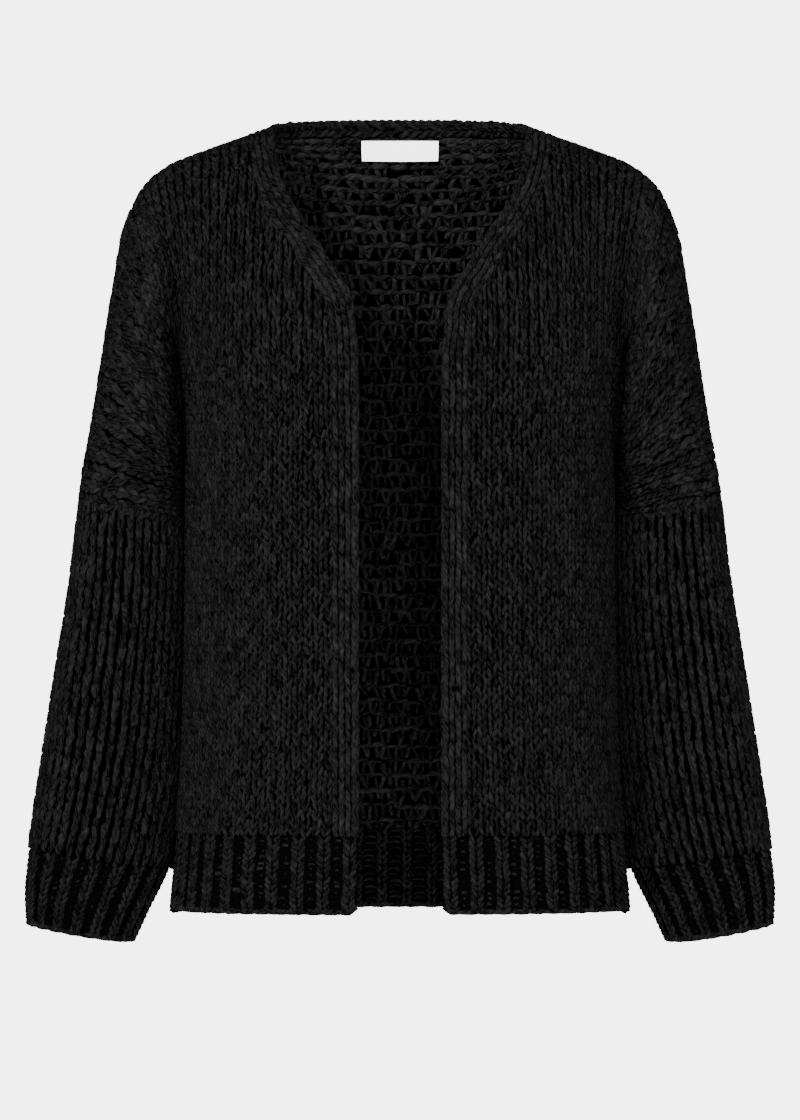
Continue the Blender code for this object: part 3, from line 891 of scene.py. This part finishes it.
# The backing's colour is painted shade: far darker than the yarn, for the shadow in the gaps between
# stitches.
backing_painted_shade = backing_material("backing", (0.0001, 0.0001, 0.0001))
# The rib backing's colour is painted shade, less dark: the dim purl columns in the rib's grooves.
rib_painted_shade = backing_material("rib_backing_painted_shade", (0.00045, 0.00045, 0.00046))
satin = satin_material("label_satin", (0.60, 0.60, 0.61))

# %% [markdown]
# ## Knitting the pieces
#
# All of the cardigan is stocking stitch apart from its ribs, and it looks different from place to
# place only by how the cloth hangs: Vs on the body, steep ones in the yoke where the cloth is
# stretched, and cords of narrow Vs where it is pulled sideways, on the outer shoulder and down the
# sleeves. The inside of the back shows level bars and short legs. Stitches lie on whole columns and
# rows of a cloth.

# %% Stitches
PLAIN = pair(leg(spread=0.24, reach=0.82, depth=0.0012, dive=0.0048, radius=0.0018, waist=0.42))
STEEP = pair(
    leg(0.23, reach=0.94, depth=0.0008, dive=0.0046, radius=0.0017, waist=0.40, squeeze=0.86)
)
SHOULDER_CORD = pair(
    leg(0.24, reach=0.92, depth=0.0008, dive=0.0042, radius=0.0021, waist=0.30, squeeze=0.66)
)
ARM_CORD = pair(
    leg(0.27, reach=0.90, depth=0.0006, dive=0.0046, radius=0.0023, waist=0.34, squeeze=0.84)
)
SLEEVE_CORD = pair(
    leg(0.30, reach=0.86, depth=0.0002, dive=0.0044, radius=0.0020, waist=0.36, squeeze=0.44)
)
EDGING = pair(leg(0.18, reach=1.30, depth=0.0008, dive=0.0026, radius=0.0020, waist=0.30))
SEAM = pair(leg(0.34, reach=0.85, depth=0.0006, dive=0.0040, radius=0.0024))
INSIDE_BAR = bar(half_width=0.52, arch=0.12, depth=0.0072, dive=0.0052, radius=0.0021)
INSIDE_LEG = Strand(
    across=(0.30, 0.27, 0.19, 0.15),
    down=(0.10, 0.35, 0.65, 0.92),
    depth=(0.0050, 0.0062, 0.0062, 0.0050),
    radius=0.0019,
)
INSIDE = [INSIDE_BAR, *pair(INSIDE_LEG)]
CORD_FROM = 20  # column of the yoke from which the stitches are cords


def stitches(columns, rows, keep=None, offset=0.5):
    """Middles of the stitches between two columns and two rows, as flat arrays."""
    across, down = np.arange(*columns) + offset, np.arange(*rows) + 0.5
    column, row = (a.ravel() for a in np.meshgrid(across, down, indexing="ij"))
    if keep is not None:
        kept = keep(column, row)
        column, row = column[kept], row[kept]
    return column, row


def plain(cloth, column, row, strands=PLAIN):
    return tubes(*draw(cloth, column, row, strands, uneven=0.10))


def panel_knit(panel, column, row):
    """A panel's stitches: steep ones and cords in the yoke, and plain ones in the body."""
    yoke = row < YOKE_ROWS
    outer = yoke & (column > CORD_FROM)
    kinds = (yoke & ~outer, STEEP), (outer, SHOULDER_CORD), (~yoke, PLAIN)
    return [plain(panel, column[part], row[part], strands) for part, strands in kinds]


def arm_knit(side, mirror):
    return [
        plain(wale, np.zeros(len(row)), row, ARM_CORD)
        for wale, row in arm_wales(side, mirror)
        if len(row)
    ]


# %% [markdown]
# ## The fronts
#
# A front is knitted from the hem up to the shoulder and out over the upper arm. Its own columns
# stop where those along the edge begin, and a rolled cord finishes the edge, where a real one curls
# over.

# %% Fronts
names = {1: "left", -1: "right"}
panels = {(side, mirror): panel_cloth(side, mirror) for side in (-1, 1) for mirror in (1, -1)}
arms = {(side, mirror): arm_cloth(side, mirror) for side in (-1, 1) for mirror in (1, -1)}
edges = {mirror: edge_cloth(mirror) for mirror in (1, -1)}


def inside_panel(column, row):
    """Whether a stitch of the front panel lies clear of the columns along its edge."""
    share = np.interp(row, edge_rows, edge_shares)
    reach = edge_reach(panel_place(column / COLUMNS, row, -1))
    return (column / COLUMNS > share) & (reach > EDGE_WIDTH * 0.9)


def front_first(row):
    return np.interp(row, edge_rows, edge_shares) * COLUMNS


# The front's columns are shifted so that a whole one meets the edge's down the straight front.
body_first = np.interp(PANEL_ROWS, edge_rows, edge_shares_in) * COLUMNS
front_stitches = stitches(
    (0, COLUMNS), (0, PANEL_ROWS), inside_panel, offset=0.5 + body_first % 1.0 - 1.0
)
for mirror, name in names.items():
    panel, edge = panels[-1, mirror], edges[mirror]
    knitted = panel_knit(panel, *front_stitches)
    edge_stitches = stitches((0, EDGE_COLUMNS), (0, EDGE_STITCHES))
    border = tubes(*draw(edge, *edge_stitches, EDGING, uneven=0.03))
    edge_run = np.linspace(0, EDGE_STITCHES, 4 * EDGE_STITCHES)
    roll = rope(edge, 0.18, edge_run, 0.0034, 0.0019, swing=0.0015, strands=3, pitch=0.045)
    parts = [*knitted, border, roll, *arm_knit(-1, mirror)]
    yarn = piece(f"knit_front_{name}", parts, knit)
    patches = [
        patch(panel, (0, COLUMNS), (0, PANEL_ROWS), start=front_first),
        patch(arms[-1, mirror], (0, ARM_COLUMNS), (0, YOKE_ROWS)),
    ]
    cloth = backing(f"backing_front_{name}", patches, backing_painted_shade, f"front_{name}")

# %% [markdown]
# ## The seams
#
# Front and back are sewn together down the side and under the arm, and they meet along the shoulder
# and the outside of the arm. A seam is a column of wide stitches that takes half of its width from
# each side, with a cord in its groove. At the armpit four pieces come together, and the cord is
# thickest there.

# %% Seams
UNDER_STITCHES = 76
UNDER_STEP = 0.04  # of the way down the arm, for one column
SEAM_WIDTH = 0.011
SEAM_CORD, ARMPIT_CORD = 0.0016, 0.0011


def side_place(column, row):
    """Places across the side seam: the front panel before it, and the back panel after it."""
    column, row = np.broadcast_arrays(column, row)
    share = (1 - np.abs(column) / COLUMNS, row)
    return np.where((column < 0)[..., None], panel_place(*share, -1), panel_place(*share, 1))


def under_place(column, stitch):
    """Places across the seam under the arm."""
    distance = mix(ARMPIT_AT, CUFF_AT, stitch / UNDER_STITCHES)
    turn = 1 - np.abs(column) * UNDER_STEP
    return np.where((column < 0)[..., None], arm(distance, turn, -1), arm(distance, turn, 1))


def ridge_place(column, distance):
    """Places across the top line, along the shoulder and the outside of the arm."""
    column, distance = np.broadcast_arrays(column, distance)
    share = mix(NECK_SHARE, 1.0, np.clip(distance / ARMPIT_AT, 0, 1))
    down = np.abs(column) / YOKE_ROWS
    on_yoke = (distance < ARMPIT_AT)[..., None]
    front, back = (
        np.where(on_yoke, shoulder_wale(share, down, side), arm(distance, down, side))
        for side in (-1, 1)
    )
    return np.where((column < 0)[..., None], front, back)


def seam_cord(cloth, first, last, armpit, spread):
    run = np.linspace(first, last, 160)
    thick = SEAM_CORD + ARMPIT_CORD * np.exp(-(((run - armpit) / spread) ** 2))
    return rope(cloth, 0.0, run, 0.0002, thick)


def seam_yarn(cloth, first, last):
    rows = stitches((0, 1), (first, last), offset=0.0)
    return tubes(*draw(cloth, *rows, SEAM, uneven=0.07, lift=0.0006, width=SEAM_WIDTH))


seams = {}
for mirror in names:
    ridge = Cloth(ridge_place, (-1, 1), (0.0, SLEEVE_AT), -1, mirror, (0.5, 0.004))
    side = Cloth(side_place, (-1, 1), (YOKE_ROWS, PANEL_ROWS), -1, mirror)
    under = Cloth(under_place, (-1, 1), (0, UNDER_STITCHES), -1, mirror)
    side_cord = seam_cord(side, YOKE_ROWS, PANEL_ROWS, armpit=39, spread=5)
    side_yarn = joined([seam_yarn(side, YOKE_ROWS, PANEL_ROWS), side_cord])
    under_cord = seam_cord(under, 0, UNDER_STITCHES, armpit=6, spread=4)
    ridge_cord = rope(ridge, 0.0, np.linspace(0, SLEEVE_AT, 160), 0.0024, 0.0023)
    side_yarn = joined([side_yarn, ridge_cord])
    seams[mirror] = side_yarn, joined([seam_yarn(under, 0, UNDER_STITCHES), under_cord])

# %% [markdown]
# ## The back
#
# The back is one piece from sleeve to sleeve. Its inside shows through the open front: rows of
# level bars, set half a stitch aside from row to row, with legs between them. They are drawn where
# they can be seen, and lie flat behind the neck label.

# %% Back
INSIDE_GAUGE = 22, 48  # the inside's columns and rows on half a panel
INSIDE_SIZE = COLUMNS / INSIDE_GAUGE[0], PANEL_ROWS / INSIDE_GAUGE[1]
INSIDE_YOKE, INSIDE_SLIT = 22, 14  # rows that show in full, and columns that show below them
LABEL_ROOM, LABEL_LOW_Z, LABEL_PRESS = 0.009, -0.029, 0.0026


def shown_inside(column, row):
    return (row < INSIDE_YOKE) | (column < INSIDE_SLIT)


def inside_stitches(panel, mirror):
    """The stitches of the inside of half the back. The middle column belongs to one half."""
    columns, rows = INSIDE_GAUGE
    column, row = stitches((0, columns + 1), (0, rows), shown_inside)
    column = column - 0.5 * (row.astype(int) % 2)
    kept = (column < columns) & ((column > 0.4) | (mirror > 0))
    column, row = column[kept] * INSIDE_SIZE[0], row[kept] * INSIDE_SIZE[1]
    place, _ = panel.at(column, row)
    behind = (np.abs(place[:, 0]) < LABEL_SIZE[0] / 2 + LABEL_ROOM) & (place[:, 2] > LABEL_LOW_Z)
    return column, row, LABEL_PRESS * behind[:, None]


def inside_knit(panel, mirror):
    column, row, pressed = inside_stitches(panel, mirror)
    parts = []
    for strand in INSIDE:
        across, down = strand.across * INSIDE_SIZE[0], strand.down * INSIDE_SIZE[1]
        scaled = Strand(across, down, strand.depth, strand.radius)
        drawn = draw(
            panel, column, row, [scaled], lift=pressed, wander=0.12, uneven=0.13, inside=True
        )
        parts.append(tubes(*drawn))
    return parts


patches = [patch(panels[1, mirror], (0, COLUMNS), (0, PANEL_ROWS)) for mirror in names]
patches += [patch(arms[1, mirror], (0, ARM_COLUMNS), (0, YOKE_ROWS)) for mirror in names]
for mirror, name in names.items():
    panel = panels[1, mirror]
    knitted = panel_knit(panel, *stitches((0, COLUMNS), (0, PANEL_ROWS)))
    inside = inside_knit(panel, mirror)
    piece(f"knit_back_{name}", [*knitted, seams[mirror][0]], knit)
    # The inside's yarn has painted light: its lighter colour makes up for the dim inside.
    piece(f"knit_back_inside_{name}", inside, purl)
    piece(f"knit_back_arm_{name}", arm_knit(1, mirror), knit)
back = backing("backing_back", patches, backing_painted_shade, "back")

# %% [markdown]
# ## The sleeves
#
# Below the dropped seam a sleeve is a plain tube. It hangs in close cords down to the cuff, and a
# ring of seam stitches joins it to the upper arm.

# %% Sleeves
SLEEVE_COLUMNS = 44
SLEEVE_ROWS = 33
RING_STITCHES = 44  # of the seam at the top


def ring_seam_place(column, row):
    return tube_place(SLEEVE_AT + SEAM_WIDTH * (column - 0.5), row / RING_STITCHES)


for mirror, name in names.items():
    tube = tube_cloth(SLEEVE_AT, CUFF_AT, SLEEVE_COLUMNS, SLEEVE_ROWS, mirror)
    turned = Cloth(ring_seam_place, (0, 1), (0, RING_STITCHES), -1, mirror)
    ring_stitches = stitches((0, 1), (0, RING_STITCHES))
    seam = tubes(*draw(turned, *ring_stitches, SEAM, uneven=0.09, width=SEAM_WIDTH))
    sleeve = plain(tube, *stitches((0, SLEEVE_COLUMNS), (0, SLEEVE_ROWS)), SLEEVE_CORD)
    yarn = piece(f"knit_sleeve_{name}", [sleeve, seam, seams[mirror][1]], knit)
    patches = [patch(tube, (0, SLEEVE_COLUMNS), (0, SLEEVE_ROWS))]
    cloth = backing(f"backing_sleeve_{name}", patches, backing_painted_shade, f"sleeve_{name}")

# %% [markdown]
# ## Ribbing
#
# Knit one, purl one. A knit column stands out as a column of Vs, and between two of them the purl
# column lies deep and shows level bars. The rib's cloth is sunk between its knit columns, as the
# solid is, and a cord of cast-on loops ends it.

# %% Ribs
RIB_ROWS = 13
RIB_START = -0.4  # row where the backing begins, under the piece above
KNIT_SHARE = 0.56  # of a rib's pitch
KNIT_WIDTH, PURL_WIDTH = 0.0115, 0.0090
CAST_ON = dict(depth=0.0036, radius=0.0021, swing=0.0006, strands=2, pitch=0.030)
RIB_KNIT = pair(leg(0.27, reach=0.90, depth=0.0012, dive=0.0044, radius=0.0019, waist=0.42))
RIB_PURL = [bar(half_width=0.45, arch=0.25, depth=0.0040, dive=0.0046, radius=0.0014)]
RIB_INSIDE_KNIT = pair(
    leg(0.28, reach=0.86, depth=0.0044, dive=0.0030, radius=0.0018, waist=0.38)
)
RIB_INSIDE_PURL = [bar(half_width=0.40, arch=0.25, depth=0.0058, dive=0.0048, radius=0.0010)]


def knit_rib(cloth, ribs):
    column, row = stitches((0, 2 * ribs), (0, RIB_ROWS))
    odd = column.astype(int) % 2 == 1
    knitted = draw(cloth, column[~odd], row[~odd], RIB_KNIT, wander=0.04, width=KNIT_WIDTH)
    knitted = tubes(*knitted)
    purled = draw(
        cloth, column[odd], row[odd], RIB_PURL, wander=0.08, uneven=0.14, width=PURL_WIDTH
    )
    return [knitted, tubes(*purled)]


def rib_inside(cloth, ribs, reach):
    """The inside of a rib near its middle: what is knit outside is purl there."""

    def near_middle(column, row):
        return np.abs(column - ribs) < reach

    column, row = stitches((0, 2 * ribs), (0, RIB_ROWS), near_middle)
    odd = column.astype(int) % 2 == 1
    knitted = draw(
        cloth, column[odd], row[odd], RIB_INSIDE_KNIT, inside=True, width=PURL_WIDTH
    )
    knitted = tubes(*knitted)
    purled = draw(
        cloth, column[~odd], row[~odd], RIB_INSIDE_PURL, uneven=0.12, inside=True,
        width=KNIT_WIDTH,
    )
    return [knitted, tubes(*purled)]


def rib_share(column):
    """Columns of knit and purl as a share of the ribs' pitch: the knit ones are wider."""
    count, within = np.floor(column / 2), column % 2
    purl_part = KNIT_SHARE + (within - 1) * (1 - KNIT_SHARE)
    return count + np.where(within < 1, within * KNIT_SHARE, purl_part)


def rib_cloth(place, ribs, outward, mirror):
    def rib_place(column, row):
        return place(rib_share(column) / ribs, row)

    cloth = Cloth(rib_place, (0, 2 * ribs), (0, RIB_ROWS), outward, mirror)
    column = np.linspace(0, 2 * ribs, cloth.points.shape[0])
    sunk = RIB_RELIEF * ease((np.abs(column % 2 - 0.5) - 0.25) / 0.6)
    cloth.points = cloth.points - cloth.normals * sunk[:, None, None]
    return cloth


def rib_piece(name, cloth, ribs, inside=()):
    columns = np.linspace(0, 2 * ribs, 16 * ribs)
    cast_on = rope(cloth, columns, RIB_ROWS - 0.3, **CAST_ON)
    yarns = [piece(f"rib_{name}", [*knit_rib(cloth, ribs), cast_on], rib)]
    if inside:
        yarns.append(piece(f"rib_{name}_inside", inside, rib))
    patches = [patch(cloth, (0, 2 * ribs), (RIB_START, RIB_ROWS), step=0.5)]
    # The rib's cloth takes painted shade, for the dim purl columns in its grooves.
    under = backing(f"backing_{name}", patches, rib_painted_shade, name)
    print(f"{name}: {ribs} ribs")


# %% [markdown]
# ## Hems and cuffs
#
# The fronts' hems end at the front edge, where the corner is rounded. The back's goes from side to
# side, 4 mm lower, and its inside shows between the fronts. A cuff is a tube, drawn in to its end.

# %% Hems
HEM_CORNER = 0.0045
INSIDE_RIB_REACH = 7  # columns either side of the middle
edge_at_hem = np.interp(PANEL_ROWS, edge_rows, edge_shares)
front_ribs = round(ring_length(-1) * (1 - edge_at_hem) / RIB_PITCH)
back_ribs = round(ring_length(1) * 2 / RIB_PITCH)


def front_hem_place(share, row):
    """The hem of a front, whose lower corner at the edge is rounded."""
    share, row = np.broadcast_arrays(share, row)
    from_edge = share * ring_length(-1) * (1 - edge_at_hem)
    short = np.clip(HEM_CORNER - from_edge, 0, HEM_CORNER)
    rounding = HEM_CORNER - np.sqrt(HEM_CORNER**2 - short**2)
    z = mix(HEM_RIB_Z, FRONT_HEM_Z + rounding, row / RIB_ROWS)
    return ring(mix(edge_at_hem, 1.0, share), z, -1)


def back_hem_place(share, row):
    share, row = np.broadcast_arrays(mix(-1.0, 1.0, share), row)
    place = ring(np.abs(share), mix(HEM_RIB_Z, BACK_HEM_Z, row / RIB_ROWS), 1)
    return place * point(np.where(share < 0, -1.0, 1.0), 1.0, 1.0)


for mirror, name in names.items():
    hem = rib_cloth(front_hem_place, front_ribs, -1, mirror)
    rib_piece(f"hem_front_{name}", hem, front_ribs)
hem = rib_cloth(back_hem_place, back_ribs, 1, 1)
rib_piece("hem_back", hem, back_ribs, rib_inside(hem, back_ribs, INSIDE_RIB_REACH))

# %% Cuffs
cuff_ribs = round(steps_along(tube_place(CUFF_AT, np.linspace(0, 1, 121)))[-1] / RIB_PITCH)


def cuff_place(share, row):
    distance = mix(CUFF_AT, END_AT, row / RIB_ROWS)
    around = np.stack([even_around(d, share[:, 0]) for d in distance[0]], axis=1)
    return tube_place(distance, around)


for mirror, name in names.items():
    cuff = rib_cloth(cuff_place, cuff_ribs, 1, mirror)
    rib_piece(f"cuff_{name}", cuff, cuff_ribs)

# %% [markdown]
# ## Neck band
#
# The band along the back neck is one column of wide stitches on either side, under a twisted cord.

# %% Neck band
BAND_STITCHES = 44
BAND_WIDTH = 0.012
BAND_OUTER = pair(leg(spread=0.33, reach=0.9, depth=0.0013, dive=0.0040, radius=0.0021))
BAND_INNER = pair(leg(spread=0.33, reach=0.9, depth=0.0057, dive=0.0030, radius=0.0021))


def band_place(column, row):
    return band(mix(-1.0, 1.0, row / BAND_STITCHES), 1 - column)


neck = Cloth(band_place, (0, 1), (0, BAND_STITCHES), -1)
column, row = stitches((0, 1), (0, BAND_STITCHES))
outer = tubes(*draw(neck, column, row, BAND_OUTER, uneven=0.08, width=BAND_WIDTH))
inner = tubes(*draw(neck, column, row, BAND_INNER, uneven=0.1, inside=True, width=BAND_WIDTH))
band_run = np.linspace(0, BAND_STITCHES, 240)
crest = rope(neck, 0.1, band_run, 0.0034, 0.0019, swing=0.0014, strands=2, pitch=0.013)
yarn = piece("rib_neck_band", [outer, inner, crest], rib)
patches = [patch(neck, (0, 1), (0, BAND_STITCHES), step=0.5)]
cloth = backing("backing_neck_band", patches, backing_painted_shade, "neck_band")

# %% [markdown]
# ## Label
#
# A small woven label is sewn inside the back neck, and it stays bare. Its CAD form already is a
# strip of cloth that follows the back. So a copy of it is merged, which joins its loose triangles,
# and gets satin.

# %% Label
label = bpy.data.objects.new("neck_label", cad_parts["label"].data.copy())
label.data.materials.clear()
label.data.materials.append(satin)
bpy.context.scene.collection.objects.link(label)
weld(label, 0.00001, recalculate=False)
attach(label, "root")
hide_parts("label")
print(f"neck_label: {len(label.data.vertices)} vertices")

# %% [markdown]
# ## Stage, light and camera
#
# The cardigan hangs in a round, pale studio, whose floor bends up into its wall, so that it looks
# the same from every side. The profile is spun round in edit mode. Two soft lights from the front
# show the stitches, and one from above and one from behind keep the outline readable. A long lens
# far away gives the flat view of a catalogue picture.

# %% Stage
FLOOR_Z, FLOOR_RADIUS, WALL_RADIUS, WALL_TOP = -0.95, 9.0, 12.0, 7.0
STUDIO_GLOW = 5.2
turns = np.linspace(0, np.pi / 2, 17)[1:]
bend = WALL_RADIUS - FLOOR_RADIUS
profile = [(0.0, 0.0), (FLOOR_RADIUS, 0.0)]
profile += [(FLOOR_RADIUS + bend * np.sin(a), bend * (1 - np.cos(a))) for a in turns]
profile += [(WALL_RADIUS, WALL_TOP)]
links = [(i, i + 1) for i in range(len(profile) - 1)]
deselect_all()
bpy.ops.mesh.primitive_plane_add(size=1)
studio = bpy.context.active_object
studio.name = "studio"
studio.data.clear_geometry()
studio.data.from_pydata([(r, 0, FLOOR_Z + z) for r, z in profile], links, [])
bpy.ops.object.mode_set(mode="EDIT")
bpy.ops.mesh.select_all(action="SELECT")
bpy.ops.mesh.spin(steps=72, angle=2 * np.pi, center=(0, 0, 0), axis=(0, 0, 1))
bpy.ops.mesh.remove_doubles(threshold=0.001)
bpy.ops.object.mode_set(mode="OBJECT")
bpy.ops.object.shade_smooth()
pale, _, pale_shader = material("studio", (0.0, 0.0, 0.0), 1.0)
pale_shader.inputs["Emission Color"].default_value = (1, 1, 1, 1)
pale_shader.inputs["Emission Strength"].default_value = STUDIO_GLOW
studio.data.materials.append(pale)
studio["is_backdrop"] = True

# %% Lights
AIM = 0, 0, -0.3
SKY_STRENGTH = 1.5


def area_light(name, place, size, power):
    bpy.ops.object.light_add(type="AREA", location=place)
    light = bpy.context.active_object
    light.name = name
    light.data.shape = "DISK"
    light.data.size = size
    light.data.energy = power
    towards = Vector(AIM) - Vector(place)
    light.rotation_euler = towards.to_track_quat("-Z", "Y").to_euler()


area_light("key", (-1.7, -3.6, 1.5), size=0.8, power=600)
area_light("fill", (0.2, -4.4, 0.5), size=1.2, power=600)
area_light("top", (0, 0.8, 3.0), size=1.5, power=120)
area_light("back_left", (2.4, 3.2, 1.6), size=1.6, power=160)
world = bpy.context.scene.world or bpy.data.worlds.new("world")
bpy.context.scene.world = world
world.use_nodes = True
world.node_tree.nodes["Background"].inputs["Color"].default_value = (1, 1, 1, 1)
world.node_tree.nodes["Background"].inputs["Strength"].default_value = SKY_STRENGTH

# %% Camera
MIDDLE_Z = -0.3526
CAMERA_DISTANCE = 7.0
PICTURE_HEIGHT = 0.9184  # of the scene at the garment
SENSOR = 36  # mm

bpy.ops.object.camera_add(location=(0, -CAMERA_DISTANCE, MIDDLE_Z), rotation=(np.pi / 2, 0, 0))
camera = bpy.context.active_object
camera.data.sensor_width = SENSOR
camera.data.lens = SENSOR * CAMERA_DISTANCE / PICTURE_HEIGHT
bpy.context.scene.camera = camera

# %% Finish
size = {"cad": cad_size, "shown": [list(corner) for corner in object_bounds()]}
print("Box in the CAD:", size["cad"])
print("Box as shown:", size["shown"])
